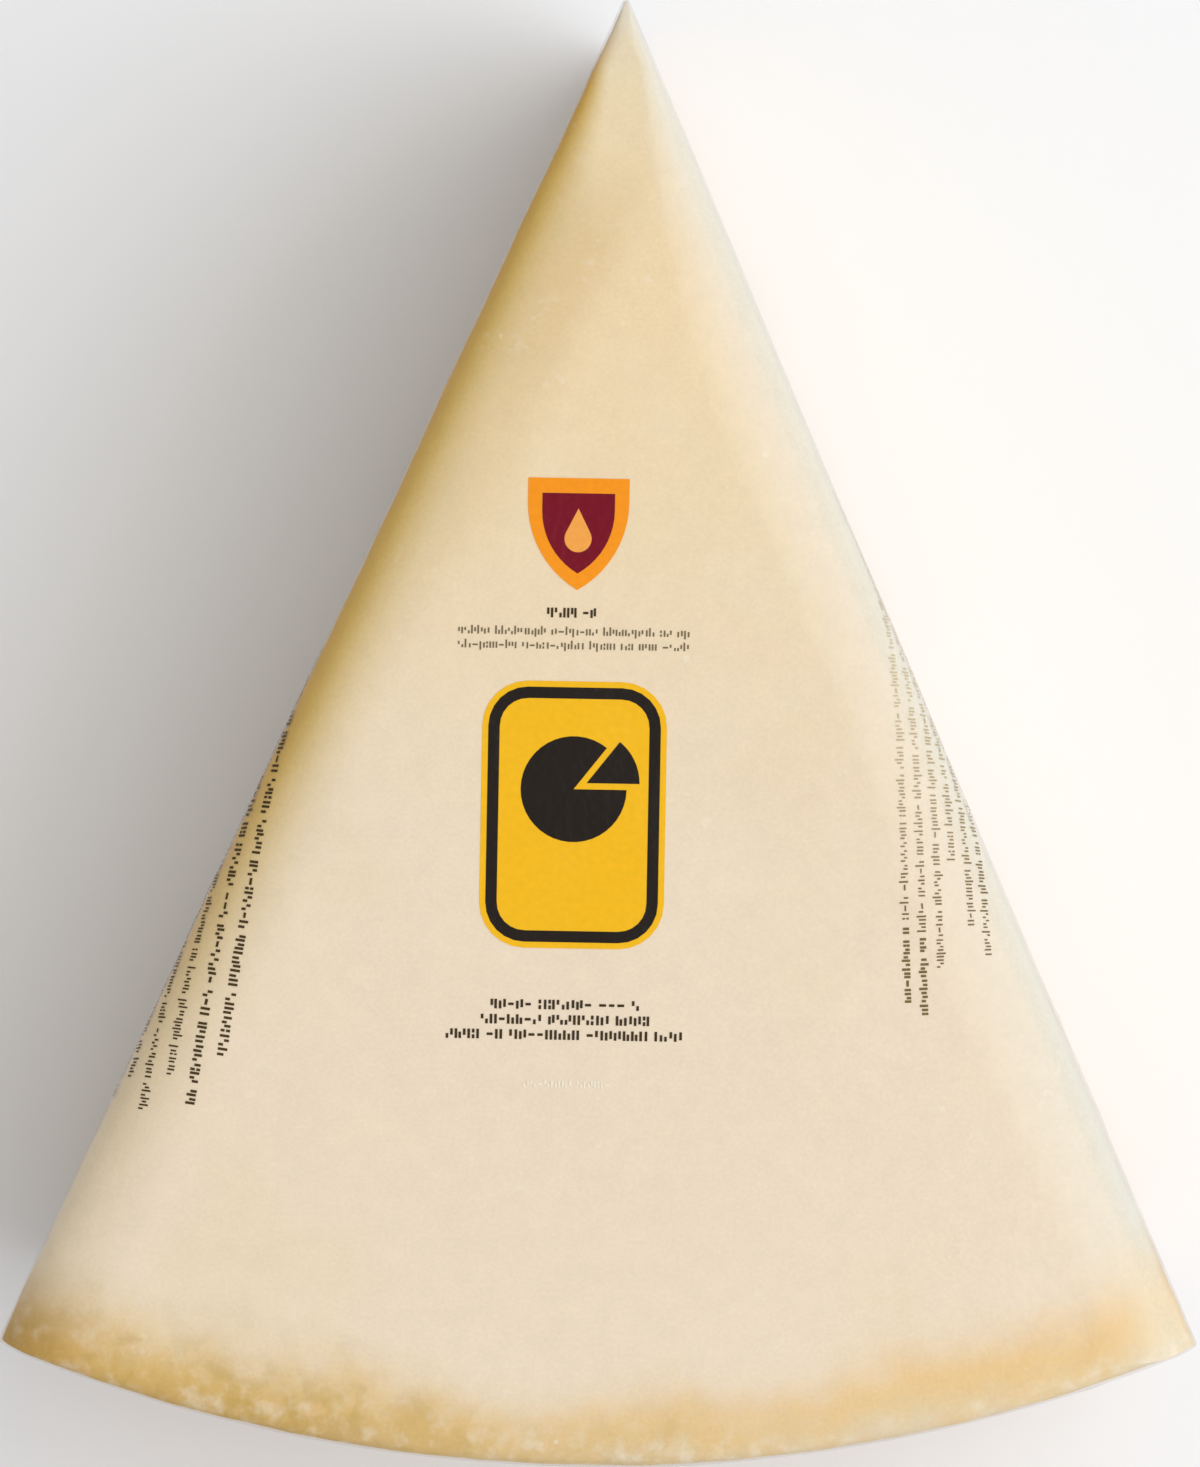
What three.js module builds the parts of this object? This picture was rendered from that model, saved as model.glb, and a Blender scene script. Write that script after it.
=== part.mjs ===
// A chunk of hard grana cheese in clear vacuum film: a wedge cut from half a wheel.
//
// The wheel is halved across its height, and the half lies on its outer face, so the smooth
// middle cut looks up. Two straight cuts then make the wedge. They cross a little short of the
// wheel's centre. Rind is left on the curved side and on the face that the wedge stands on.
// The film is sealed tight all round, so film and cheese have one outer form.
//
// Millimetres, +Z up. The tip points to +Y, the curved rind to -Y. The origin is the middle of
// the outer box, on the surface that the wedge stands on.

import * as THREE from "three";

// ---- The wheel ----
const WHEEL_RADIUS = 205; // at the middle cut, where the barrel side is widest
const HALF_HEIGHT = 100; // of a wheel 200 mm high
const BARREL_BULGE = 5; // the side draws in by this much from the middle cut to the outer face
const SHOULDER = 14; // radius where the side rolls over into the outer face
const RIM_ROUND = 2; // radius where the side meets the middle cut

// ---- The two straight cuts ----
const WEDGE_ANGLE = THREE.MathUtils.degToRad(48);
const TIP_SHORT = 10; // the cuts cross this far from the wheel's centre, towards the rind
const TIP_ASIDE = 3; // and this far beside it
const TIP_ROUND = 0.5; // plan radius of the tip's upright edge
const TIP_SPREAD = 0.6; // the tip's plan radius grows by this share of the rolls' width there
const TIP_SHARE = 0.2; // the rolled upper edges start at the tip with this share of their size
const TIP_REACH = 22; // and come up to full size over about twice this length
const TIP_EASE = 3; // with a growth that itself sets in over this length
const HEEL_ROUND = 0.5; // plan radius of the upright edges between a cut and the rind
const TOP_ROLL = { across: 11.6, down: 6.6 }; // the cuts' upper edges, rolled over by the tight film
const FOOT_ROLL = { across: 3, down: 3 }; // the cuts' lower edges

// The rolled upper edges are hand-cut and uneven: waves along them, as shares of the roll.
const LEFT_WAVES = [
  { length: 47, share: 0.07, phase: 0.4 },
  { length: 21, share: 0.04, phase: 2.1 },
];
const RIGHT_WAVES = [{ length: 88, share: 0.06, phase: 1.2 }];

// ---- Facets ----
const TIP_STEPS = 8;
const CUT_STEPS = 32;
const CUT_CROWD = 1.4; // the steps along a cut lie closer together towards the tip
const HEEL_STEPS = 4;
const RIND_STEPS = 32;
const ROLL_STEPS = 9;
const FOOT_STEPS = 4;
const SHOULDER_STEPS = 7;
const SIDE_LEVELS = 5;
const LEAST_RISE = 1; // between the foot's last level and the shoulder's next

const HALF_ANGLE = WEDGE_ANGLE / 2;
const CENTRE = new THREE.Vector2(-TIP_ASIDE, TIP_SHORT); // the wheel's axis, seen from the tip

// A straight cut, seen from above: it runs from the tip along `along`, and `out` is its normal.
const cutFace = (side) => ({
  along: new THREE.Vector2(side * Math.sin(HALF_ANGLE), -Math.cos(HALF_ANGLE)),
  out: new THREE.Vector2(side * Math.cos(HALF_ANGLE), Math.sin(HALF_ANGLE)),
});
const LEFT = cutFace(-1);
const RIGHT = cutFace(1);

// How far a quarter-round edge has drawn in at a share of its own depth, 0 to 1, as a share.
const quarterRound = (depth) => 1 - Math.sqrt(Math.max(0, 1 - depth * depth));

// How far both cuts have drawn in at height z, on their rolled edges.
function cutInset(z) {
  const above = (z - (HALF_HEIGHT - TOP_ROLL.down)) / TOP_ROLL.down;
  const below = (FOOT_ROLL.down - z) / FOOT_ROLL.down;
  if (above > 0) return TOP_ROLL.across * quarterRound(Math.min(1, above));
  if (below > 0) return FOOT_ROLL.across * quarterRound(Math.min(1, below));
  return 0;
}

// The radius of the wheel's side at height z: barrel, shoulder and rim.
function wheelRadius(z) {
  const fromMiddle = (HALF_HEIGHT - z) / HALF_HEIGHT;
  const barrel = WHEEL_RADIUS - BARREL_BULGE * fromMiddle * fromMiddle;
  const shoulder = quarterRound(Math.max(0, (SHOULDER - z) / SHOULDER));
  const rim = quarterRound(Math.max(0, (z - HALF_HEIGHT + RIM_ROUND) / RIM_ROUND));
  return barrel - SHOULDER * shoulder - RIM_ROUND * rim;
}

// The centre of the small upright round between a cut, drawn in by `inset`, and the rind.
function heelCentre(cut, inset, radius) {
  const start = cut.out.clone().multiplyScalar(-(inset + HEEL_ROUND)).sub(CENTRE);
  const b = start.dot(cut.along);
  const c = start.lengthSq() - (radius - HEEL_ROUND) ** 2;
  const reach = -b + Math.sqrt(b * b - c);
  return start.add(CENTRE).addScaledVector(cut.along, reach);
}

const waveAt = (waves, distance) =>
  waves.reduce((sum, w) => sum + w.share * Math.sin((2 * Math.PI * distance) / w.length + w.phase), 0);

// The share of its full size that the rolled upper edge has at a distance along a cut. It grows
// from the same distance at all levels.
const GROWS_FROM = (TIP_ROUND + (1 + TIP_SPREAD) * TIP_SHARE * TOP_ROLL.across) / Math.tan(HALF_ANGLE);
function rollShare(distance) {
  const past = Math.max(0, distance - GROWS_FROM);
  return 1 - (1 - TIP_SHARE) * Math.exp((-past * past) / (past + TIP_EASE) / TIP_REACH);
}

// The height of a point at level z where the rolled upper edge has a share of its full size.
function raised(z, share) {
  const rollFoot = HALF_HEIGHT - TOP_ROLL.down;
  if (z > rollFoot) return HALF_HEIGHT - (HALF_HEIGHT - z) * share;
  return (z * (HALF_HEIGHT - TOP_ROLL.down * share)) / rollFoot;
}

// A cut's line at level z, drawn in by its rolled edge, which grows away from the tip and whose
// unevenness fades out at both ends. Distances are measured along the cut from its crossing.
function cutLine(cut, waves, inset, z, start, stop) {
  return Array.from({ length: CUT_STEPS + 1 }, (_, i) => {
    const along = (i / CUT_STEPS) ** CUT_CROWD;
    const distance = start + (stop - start) * along;
    const share = rollShare(distance);
    const fade = Math.min(1, 10 * along, 10 * (1 - along));
    const wave = z > HALF_HEIGHT / 2 ? fade * waveAt(waves, distance) : 0;
    const point = cut.along.clone().multiplyScalar(distance);
    point.addScaledVector(cut.out, -inset * (share - wave));
    return new THREE.Vector3(point.x, point.y, raised(z, share));
  });
}

// The closed outline at level z, anticlockwise from above, always with the same count of points.
// It rises a little towards the tip, where the rolled upper edge is lower.
function outlineAt(z) {
  const inset = cutInset(z);
  const radius = wheelRadius(z);
  const tipRadius = TIP_ROUND + TIP_SPREAD * TIP_SHARE * inset;
  const tipInset = TIP_SHARE * inset + tipRadius;
  const tip = new THREE.Vector2(0, -tipInset / Math.sin(HALF_ANGLE));
  const start = tipInset / Math.tan(HALF_ANGLE);
  const [heelLeft, heelRight] = [LEFT, RIGHT].map((cut) => heelCentre(cut, inset, radius));
  const rindFrom = heelLeft.clone().sub(CENTRE).angle();
  const rindTo = heelRight.clone().sub(CENTRE).angle();

  const arc = (centre, r, from, to, steps, share = 1) => {
    const points = new THREE.EllipseCurve(centre.x, centre.y, r, r, from, to, false, 0).getPoints(steps);
    return points.map((p) => new THREE.Vector3(p.x, p.y, raised(z, share)));
  };
  const line = (cut, waves, heel) => cutLine(cut, waves, inset, z, start, heel.dot(cut.along));

  const pieces = [
    arc(tip, tipRadius, RIGHT.out.angle(), LEFT.out.angle(), TIP_STEPS, TIP_SHARE),
    line(LEFT, LEFT_WAVES, heelLeft),
    arc(heelLeft, HEEL_ROUND, LEFT.out.angle(), rindFrom, HEEL_STEPS),
    arc(CENTRE, radius, rindFrom, rindTo, RIND_STEPS),
    arc(heelRight, HEEL_ROUND, rindTo, RIGHT.out.angle() + 2 * Math.PI, HEEL_STEPS),
    line(RIGHT, RIGHT_WAVES, heelRight).reverse(),
  ];
  return pieces.flatMap((points, i) => closeGap(points, pieces[(i + 1) % pieces.length]));
}

// A piece of the outline without its last point, which the next piece begins with.
function closeGap(points, next) {
  next[0].lerp(points[points.length - 1], 0.5);
  return points.slice(0, -1);
}

// The levels of the outlines, close together where an edge rolls over.
function levels() {
  const rolled = (height, steps) =>
    Array.from({ length: steps + 1 }, (_, i) => height * (1 - Math.cos((i * Math.PI) / 2 / steps)));
  const foot = rolled(FOOT_ROLL.down, FOOT_STEPS);
  const shoulder = rolled(SHOULDER, SHOULDER_STEPS).filter((z) => z > FOOT_ROLL.down + LEAST_RISE);
  const top = rolled(TOP_ROLL.down, ROLL_STEPS).map((depth) => HALF_HEIGHT - depth);
  const rise = (HALF_HEIGHT - TOP_ROLL.down - SHOULDER) / (SIDE_LEVELS + 1);
  const side = Array.from({ length: SIDE_LEVELS }, (_, i) => SHOULDER + rise * (i + 1));
  return [...foot, ...shoulder, ...side, ...top.reverse()];
}

// The skin: outlines joined level by level, closed by a fan of facets on the foot and on the top.
function wedgeGeometry() {
  const rings = levels().map(outlineAt);
  const count = rings[0].length;
  const last = (rings.length - 1) * count;
  const hubs = [rings[0], rings[rings.length - 1]].map((ring) =>
    ring.reduce((sum, p) => sum.add(p), new THREE.Vector3()).divideScalar(count),
  );
  const position = [...rings.flat(), ...hubs].flatMap((p) => p.toArray());
  const [footHub, topHub] = [last + count, last + count + 1];

  const index = [];
  for (let i = 0; i < count; i++) {
    const j = (i + 1) % count;
    index.push(footHub, j, i, topHub, last + i, last + j);
    for (let row = 0; row < last; row += count) {
      index.push(row + i, row + j, row + j + count, row + i, row + j + count, row + i + count);
    }
  }
  const skin = new THREE.BufferGeometry();
  skin.setAttribute("position", new THREE.Float32BufferAttribute(position, 3));
  skin.setIndex(index);
  return skin;
}

const wedge = new THREE.Mesh(
  wedgeGeometry(),
  new THREE.MeshStandardMaterial({ color: 0xebdabe, roughness: 0.45, metalness: 0 }),
);
wedge.name = "cheese_wedge";

// The origin goes to the middle of the outer box, on the standing surface.
wedge.geometry.computeBoundingBox();
const middle = wedge.geometry.boundingBox.getCenter(new THREE.Vector3());
wedge.position.set(-middle.x, -middle.y, 0);
wedge.geometry.computeVertexNormals();

const part = new THREE.Group();
part.add(wedge);

export default part;
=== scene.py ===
"""A wedge of hard grana cheese, sealed in clear printed film."""

import bisect
import math
import random

import bmesh
import bpy
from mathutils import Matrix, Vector, noise
from mathutils.bvhtree import BVHTree


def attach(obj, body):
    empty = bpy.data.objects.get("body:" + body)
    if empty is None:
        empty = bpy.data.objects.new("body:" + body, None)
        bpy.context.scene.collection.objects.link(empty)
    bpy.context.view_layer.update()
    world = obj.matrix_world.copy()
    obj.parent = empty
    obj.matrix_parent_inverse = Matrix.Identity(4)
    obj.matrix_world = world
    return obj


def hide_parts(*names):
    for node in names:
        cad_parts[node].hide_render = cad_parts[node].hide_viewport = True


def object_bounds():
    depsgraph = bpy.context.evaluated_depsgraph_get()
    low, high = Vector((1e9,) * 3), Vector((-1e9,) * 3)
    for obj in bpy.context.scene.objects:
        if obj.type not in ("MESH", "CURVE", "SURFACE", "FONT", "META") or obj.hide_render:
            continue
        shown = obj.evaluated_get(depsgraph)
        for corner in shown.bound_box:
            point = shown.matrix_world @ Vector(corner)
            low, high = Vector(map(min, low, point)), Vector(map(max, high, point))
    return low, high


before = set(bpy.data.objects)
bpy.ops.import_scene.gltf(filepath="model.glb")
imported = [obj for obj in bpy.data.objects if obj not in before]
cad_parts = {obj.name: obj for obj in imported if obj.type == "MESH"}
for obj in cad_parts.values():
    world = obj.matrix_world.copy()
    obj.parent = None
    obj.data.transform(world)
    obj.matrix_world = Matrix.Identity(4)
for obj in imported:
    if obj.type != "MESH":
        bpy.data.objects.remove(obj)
cad_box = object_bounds()


# ---- The cheese ----
# One chunk of hard grana. The paste is set and pressed in a hoop, salted and matured until its
# skin dries to a rind. The wheel is halved across its height and then cut in wedges by wire, so
# the rind is left on the curved side and on the foot.

MM = 0.001
HALF_HEIGHT = cad_box[1].z - cad_box[0].z
WHEEL_RADIUS = 205 * MM
BARREL_BULGE = 5 * MM
SHOULDER = 14 * MM
RIM_ROUND = 2 * MM
HALF_ANGLE = math.radians(24)
TIP_ROUND = 0.5 * MM
TIP_SPREAD = 0.6  # the tip's round widens upwards by this share of the roll there
TIP_SHARE = 0.2  # of the rolled upper edges' full size, at the tip
TIP_REACH = 22 * MM  # over about twice this they grow to the full
TIP_EASE = 3 * MM  # and over this the growth sets in
HEEL_ROUND = 0.5 * MM  # the upright edges between the cuts and the rind
ROLL_ACROSS, ROLL_DOWN = 11.6 * MM, 6.6 * MM  # the cuts' upper edges
FOOT_ROLL = 3 * MM  # the cuts' lower edges
CENTRE_ASIDE = -3 * MM  # from where the two cuts cross to the wheel's own axis
CENTRE_BEYOND = 10 * MM

# The mesh's cells on the walls and on the flat cut, and its steps round the corners and edges.
CELL = 1.1 * MM
TOP_CELL = 2.5 * MM
TIP_STEPS, HEEL_STEPS, RIND_STEPS = 8, 4, 110
FOOT_STEPS, SHOULDER_STEPS, TOP_STEPS = 6, 12, 14
LEAST_RISE = 0.4 * MM  # between the foot's last level and the shoulder's next
FILM_GAP = 0.16 * MM  # from the cheese's surface to the film's

# How far along a cut from its crossing the rolled edge starts to grow, at all levels alike.
GROWS_FROM = (TIP_ROUND + (1 + TIP_SPREAD) * TIP_SHARE * ROLL_ACROSS) / math.tan(HALF_ANGLE)

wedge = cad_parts["cheese_wedge"]
tip = max(wedge.data.vertices, key=lambda v: v.co.y).co
APEX = Vector((tip.x, tip.y + TIP_ROUND * (1 / math.sin(HALF_ANGLE) - 1)))  # where the cuts cross
AXIS = APEX + Vector((CENTRE_ASIDE, CENTRE_BEYOND))


class Cut:
    """A straight cut, seen from above: the way it runs from the tip, its outward normal, and the
    waves along its upper edge as their length, their share of the roll and their phase."""

    def __init__(self, side, waves):
        self.along = Vector((side * math.sin(HALF_ANGLE), -math.cos(HALF_ANGLE)))
        self.out = Vector((side * math.cos(HALF_ANGLE), math.sin(HALF_ANGLE)))
        self.waves = waves

    def wave(self, distance, along):
        """The unevenness of the rolled upper edge, as a share of the roll. It fades out over the
        first and the last tenth of the cut."""
        height = 0
        for length, share, phase in self.waves:
            height += share * math.sin(math.tau * distance / length + phase)
        return height * min(1, 10 * along, 10 * (1 - along))


LEFT = Cut(-1, [(47 * MM, 0.07, 0.4), (21 * MM, 0.04, 2.1)])
RIGHT = Cut(1, [(88 * MM, 0.06, 1.2)])


def spread(start, stop, steps):
    """Even values from start up to stop, without stop itself."""
    return [start + (stop - start) * i / steps for i in range(steps)]


def quarter_round(share):
    """How far a quarter-round edge has drawn in at a share of its own depth."""
    return 1 - math.sqrt(max(0, 1 - share * share))


def cut_inset(z):
    """How far both cuts have drawn in at height z, on their rolled edges."""
    above = max(0, min(1, (z - (HALF_HEIGHT - ROLL_DOWN)) / ROLL_DOWN))
    below = max(0, min(1, (FOOT_ROLL - z) / FOOT_ROLL))
    return ROLL_ACROSS * quarter_round(above) + FOOT_ROLL * quarter_round(below)


def wheel_radius(z):
    """The radius of the wheel's side at height z: barrel, shoulder and rim."""
    from_middle = (HALF_HEIGHT - z) / HALF_HEIGHT
    shoulder = quarter_round(max(0, (SHOULDER - z) / SHOULDER))
    rim = quarter_round(max(0, (z - HALF_HEIGHT + RIM_ROUND) / RIM_ROUND))
    return WHEEL_RADIUS - BARREL_BULGE * from_middle**2 - SHOULDER * shoulder - RIM_ROUND * rim


def heel_centre(cut, inset, radius):
    """The middle of the small upright round between a cut and the rind."""
    start = APEX - AXIS - cut.out * (inset + HEEL_ROUND)
    b = start.dot(cut.along)
    c = start.length_squared - (radius - HEEL_ROUND) ** 2
    return AXIS + start + cut.along * (math.sqrt(b * b - c) - b)


def angle_of(vector):
    """A flat vector's angle, from nothing up to a full turn."""
    return math.atan2(vector.y, vector.x) % math.tau


def roll_share_at(distance):
    """The share of its full size that the rolled upper edge has at a distance along a cut."""
    past = max(0, distance - GROWS_FROM)
    return 1 - (1 - TIP_SHARE) * math.exp(-past * past / (past + TIP_EASE) / TIP_REACH)


def raised(z, share):
    """The height of a point at level z where the rolled upper edge has a share of its full size."""
    roll_foot = HALF_HEIGHT - ROLL_DOWN
    if z > roll_foot:
        return HALF_HEIGHT - (HALF_HEIGHT - z) * share
    return z * (HALF_HEIGHT - ROLL_DOWN * share) / roll_foot


def outline(z):
    """The wedge's outline at a level, anticlockwise from above, always with as many points. It
    rises a little towards the tip, where the rolled upper edge is lower."""
    inset, radius = cut_inset(z), wheel_radius(z)
    tip_radius = TIP_ROUND + TIP_SPREAD * TIP_SHARE * inset
    tip_inset = TIP_SHARE * inset + tip_radius
    tip_centre = APEX - Vector((0, tip_inset / math.sin(HALF_ANGLE)))
    cut_start = tip_inset / math.tan(HALF_ANGLE)
    heels = [heel_centre(cut, inset, radius) for cut in (LEFT, RIGHT)]
    rind = [angle_of(heel - AXIS) for heel in heels]

    def arc(centre, r, start, stop, steps, share=1):
        height = raised(z, share)
        turns = spread(start, stop, steps)
        return [Vector((centre.x + r * math.cos(a), centre.y + r * math.sin(a), height)) for a in turns]

    def line(cut, heel, start, stop):
        """A cut's line, drawn in by its rolled edge, which grows on its way from the tip."""
        cut_stop = (heel - APEX).dot(cut.along)
        points = []
        for t in spread(start, stop, round(WHEEL_RADIUS / CELL)):
            distance = cut_start + (cut_stop - cut_start) * t
            share = roll_share_at(distance)
            wave = cut.wave(distance, t) if z > HALF_HEIGHT / 2 else 0
            point = APEX + cut.along * distance - cut.out * inset * (share - wave)
            points.append(Vector((point.x, point.y, raised(z, share))))
        return points

    left, right = angle_of(LEFT.out), angle_of(RIGHT.out)
    return (
        arc(tip_centre, tip_radius, right, left, TIP_STEPS, TIP_SHARE)
        + line(LEFT, heels[0], 0, 1)
        + arc(heels[0], HEEL_ROUND, left, rind[0], HEEL_STEPS)
        + arc(AXIS, radius, rind[0], rind[1], RIND_STEPS)
        + arc(heels[1], HEEL_ROUND, rind[1], right + math.tau, HEEL_STEPS)
        + line(RIGHT, heels[1], 1, 0)
    )


def levels():
    """The levels of the outlines, close together where an edge rolls over."""

    def rolled(height, steps):
        return [height * (1 - math.cos(math.pi / 2 * i / steps)) for i in range(steps + 1)]

    side_top = HALF_HEIGHT - ROLL_DOWN
    foot = rolled(FOOT_ROLL, FOOT_STEPS)
    shoulder = [z for z in rolled(SHOULDER, SHOULDER_STEPS) if z > FOOT_ROLL + LEAST_RISE]
    side = spread(SHOULDER, side_top, round((side_top - SHOULDER) / CELL))[1:]
    top = [HALF_HEIGHT - z for z in reversed(rolled(ROLL_DOWN, TOP_STEPS))]
    return foot + shoulder + side + top


def wedge_skin(name, relief):
    """A closed wedge, extruded ring by ring up the outlines and in over the flat cut. Its points
    are then moved along their normals by relief."""
    bm = bmesh.new()
    rings = [outline(z) for z in levels()]
    rim = rings[-1]
    middle = sum(rim, Vector()) / len(rim)
    for share in spread(1, 0, round(WHEEL_RADIUS / 2 / TOP_CELL))[1:]:
        rings.append([middle.lerp(point, share) for point in rim])
    bmesh.ops.create_circle(bm, segments=len(rim), radius=WHEEL_RADIUS)
    column = bm.verts.layers.int.new("column")
    for i, vert in enumerate(bm.verts):
        vert[column] = i
    ring, edges = list(bm.verts), list(bm.edges)
    for k, points in enumerate(rings):
        if k:
            grown = bmesh.ops.extrude_edge_only(bm, edges=edges)["geom"]
            ring = [g for g in grown if isinstance(g, bmesh.types.BMVert)]
            edges = [g for g in grown if isinstance(g, bmesh.types.BMEdge) and g.is_boundary]
        for vert in ring:
            vert.co = points[vert[column]]
    bmesh.ops.holes_fill(bm, edges=bm.edges, sides=0)
    bmesh.ops.recalc_face_normals(bm, faces=bm.faces)
    bm.normal_update()
    moves = [(vert, vert.normal * relief(vert.co, vert.normal)) for vert in bm.verts]
    for vert, move in moves:
        vert.co += move
    bm.verts.layers.int.remove(column)
    for face in bm.faces:
        face.smooth = True
    mesh = bpy.data.meshes.new(name)
    bm.to_mesh(mesh)
    bm.free()
    piece = bpy.data.objects.new(name, mesh)
    bpy.context.collection.objects.link(piece)
    return piece


def smoothstep(low, high, value):
    """Takes a value from 0 at low to 1 at high, smoothly."""
    t = max(0, min(1, (value - low) / (high - low)))
    return t * t * (3 - 2 * t)


SWELL_SIZE, SWELL = 41 * MM, 0.24 * MM
DIP_SIZE, DIP = 13 * MM, 0.07 * MM
CRUMB_SIZE, CRUMB = 4.5 * MM, 0.12 * MM


def settled(place):
    """How far the whole chunk's faces swell and dip, from uneven setting and cutting. The foot
    stays flat."""
    slow = noise.noise(place / SWELL_SIZE) * SWELL
    quick = noise.noise(place / DIP_SIZE + Vector((7, 3, 1))) * DIP
    return (slow + quick) * smoothstep(0, 8 * MM, place.z)


def cheese_relief(place, normal):
    """The chunk's faces, with the crumb on the side cuts."""
    side = 1 - smoothstep(0.3, 0.9, abs(normal.z))
    crumb = (noise.fractal(place / CRUMB_SIZE, 0.8, 2.1, 2) - 1) * CRUMB * side
    return settled(place) + crumb * smoothstep(0, 6 * MM, place.z) - FILM_GAP


def srgb(code):
    """The linear colour of an sRGB hex value."""
    parts = [int(code[i : i + 2], 16) / 255 for i in (1, 3, 5)]
    return (*[c / 12.92 if c <= 0.04045 else ((c + 0.055) / 1.055) ** 2.4 for c in parts], 1)


def new_material(name):
    """A material without any nodes yet."""
    material = bpy.data.materials.new(name)
    material.use_nodes = True
    material.node_tree.nodes.clear()
    return material


def node(material, kind, inputs, out=0, stops=(), **settings):
    """Adds a node with its settings, its inputs' values or links, given in their order or by
    name, and a ramp's stops. Gives the chosen output."""
    made = material.node_tree.nodes.new("ShaderNode" + kind)
    for name, value in settings.items():
        setattr(made, name, value)
    named = inputs if isinstance(inputs, dict) else dict(enumerate(inputs))
    for name, value in named.items():
        if isinstance(value, bpy.types.NodeSocket):
            material.node_tree.links.new(value, made.inputs[name])
        else:
            made.inputs[name].default_value = value
    for i, (where, code) in enumerate(stops):
        stop = made.color_ramp.elements[i] if i < 2 else made.color_ramp.elements.new(where)
        stop.position, stop.color = where, srgb(code)
    return made.outputs[out] if len(made.outputs) else None


# A map range takes a value from one range to another, which is 0 to 1 where it isn't given. A mix
# has its share at input 0 and its two colours at 6 and 7.
SMOOTH = {"interpolation_type": "SMOOTHSTEP"}
COLOURS = {"data_type": "RGBA", "out": 2}

# Grana paste: pale straw, finely granular. Towards the wheel's centre it is more golden. The outer
# 8 to 14 mm dry to an amber rind, with an uneven border. On the rolled edge of the left cut a deep
# golden tone is painted shade, and on the right cut a near-white tone is a painted sheen of the film.
grana = new_material("grana_paste_and_rind")
place = node(grana, "TexCoord", (), out="Object")
height = node(grana, "SeparateXYZ", (place,), out="Z")
sideways = height.node.outputs["X"]
centred = node(grana, "Mapping", {"Vector": place, "Location": (-AXIS.x, -AXIS.y, 0)})
level = node(grana, "VectorMath", (centred, (1, 1, 0)), operation="MULTIPLY")
from_axis = node(grana, "VectorMath", (level,), out="Value", operation="LENGTH")

# How deep a point lies under the rind's skin, from the barrel side and from the foot. Lumps and
# crumbs make the rind's border ragged.
fall = node(grana, "Math", (HALF_HEIGHT, height), operation="SUBTRACT")
fall_squared = node(grana, "Math", (fall, fall), operation="MULTIPLY")
bulge = node(grana, "Math", (fall_squared, BARREL_BULGE / HALF_HEIGHT**2), operation="MULTIPLY")
barrel = node(grana, "Math", (WHEEL_RADIUS, bulge), operation="SUBTRACT")
side_depth = node(grana, "Math", (barrel, from_axis), operation="SUBTRACT")
depth = node(grana, "Math", (side_depth, height, 9 * MM), operation="SMOOTH_MIN")
lumps = node(grana, "TexNoise", {"Vector": place, "Scale": 1 / (26 * MM), "Detail": 3.0})
lumps = node(grana, "Math", (lumps, 16 * MM, -8 * MM), operation="MULTIPLY_ADD")
crumbs = node(grana, "TexNoise", {"Vector": place, "Scale": 1 / (7 * MM), "Detail": 3.0})
crumbs = node(grana, "Math", (crumbs, 6 * MM, -3 * MM), operation="MULTIPLY_ADD")
ragged = node(grana, "Math", (lumps, crumbs), operation="ADD")
ragged_depth = node(grana, "Math", (depth, ragged), operation="ADD")

# The paste on the flat cut, by its distance from the wheel's axis as a share of the radius.
reach = node(grana, "Math", (from_axis, ragged), operation="ADD")
reach = node(grana, "Math", (reach, WHEEL_RADIUS), operation="DIVIDE")
paste = node(
    grana,
    "ValToRGB",
    (reach,),
    stops=(
        (0.05, "#E6D8BC"),
        (0.12, "#EDDAB4"),
        (0.22, "#F1D9AF"),
        (0.42, "#F0DBB7"),
        (0.6, "#EFDDC3"),
        (0.9, "#EFDEC5"),
    ),
)
golden = node(grana, "TexNoise", {"Vector": place, "Scale": 1 / (38 * MM), "Detail": 3.0})
golden = node(grana, "MapRange", (golden, 0.5, 0.72, 0.0, 0.22), **SMOOTH)
paste = node(grana, "Mix", {0: golden, 6: paste, 7: srgb("#EBCF9C")}, **COLOURS)
whey = node(grana, "TexNoise", {"Vector": place, "Scale": 1 / (14 * MM), "Detail": 3.0})
whey = node(grana, "MapRange", (whey, 0.5, 0.75, 0.0, 0.2), **SMOOTH)
paste = node(grana, "Mix", {0: whey, 6: paste, 7: srgb("#F0E3C4")}, **COLOURS)

# How far a point lies within each side cut, seen from above.
insets = []
for cut in (LEFT, RIGHT):
    across = node(grana, "VectorMath", (place, (*cut.out, 0)), out="Value", operation="DOT_PRODUCT")
    insets.append(node(grana, "Math", (APEX.dot(cut.out), across), operation="SUBTRACT"))
left_inset, right_inset = insets
leftward = node(grana, "Math", (right_inset, left_inset), operation="SUBTRACT")
leftward = node(grana, "MapRange", (leftward, -5 * MM, 7 * MM), **SMOOTH)

# The paste is more golden beside the left cut in the third of the wedge next to the tip.
near_tip = node(grana, "MapRange", (from_axis, 105 * MM, 50 * MM, 0.0, 0.4), **SMOOTH)
past_tip = node(grana, "MapRange", (from_axis, 27 * MM, 45 * MM), **SMOOTH)
by_left_cut = node(grana, "MapRange", (left_inset, 17 * MM, 9 * MM), **SMOOTH)
golden_flank = node(grana, "Math", (near_tip, past_tip), operation="MULTIPLY")
golden_flank = node(grana, "Math", (golden_flank, by_left_cut), operation="MULTIPLY")
paste = node(grana, "Mix", {0: golden_flank, 6: paste, 7: srgb("#CFAE6C")}, **COLOURS)

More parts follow.
